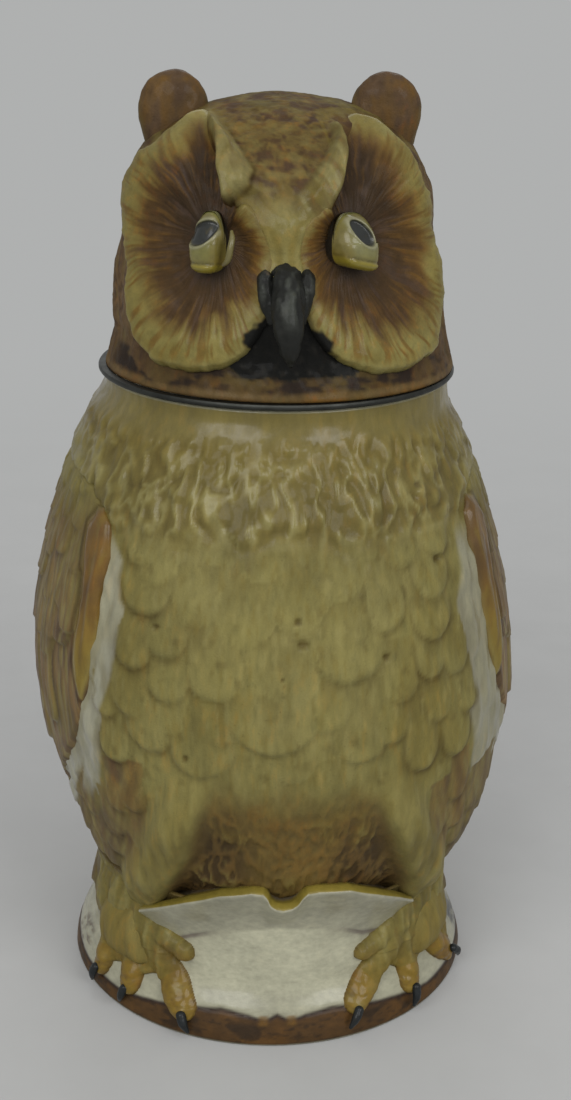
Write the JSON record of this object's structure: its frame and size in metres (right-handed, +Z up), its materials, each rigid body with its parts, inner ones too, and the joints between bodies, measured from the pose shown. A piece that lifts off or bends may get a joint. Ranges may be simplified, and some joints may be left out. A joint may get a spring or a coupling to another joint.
{
  "type": "lidded figural stein",
  "caption": "Hollow porcelain drinking stein shaped as an owl on an open book, with a hinged head for a lid, a pewter rim and thumblift, and a loop handle.",
  "frame": {"origin": "centre of the flat foot, on the surface that the stein stands on", "axes": "+Z up along the vessel's axis, -Y where the owl looks, +Y towards the handle, +X towards the owl's left wing"},
  "size_m": [0.103, 0.1384, 0.1925],
  "materials": {
    "breast_bisque": "satin painted bisque",
    "head_bisque": "satin painted bisque",
    "handle_bisque": "satin painted bisque",
    "pewter": "dull aged pewter",
    "pin_steel": "dull steel",
    "bedding_plaster": "matte"
  },
  "bodies": {
    "vessel": {"owl_body": "breast_bisque", "handle": "handle_bisque", "handle_strap": "pewter", "hinge_pin": "pin_steel", "pin_cap_left": "pewter", "pin_cap_right": "pewter"},
    "lid": {"owl_head": "head_bisque", "lid_rim": "pewter", "plaster_bed": "bedding_plaster", "lid_shank": "pewter", "thumblift": "pewter"}
  },
  "joints": [
    {"name": "lid_hinge", "type": "hinge", "parent": "vessel", "child": "lid", "pos_m": [0, 0.052, 0.136], "axis": [-1, 0, 0], "range_deg": [0, 95]}
  ]
}
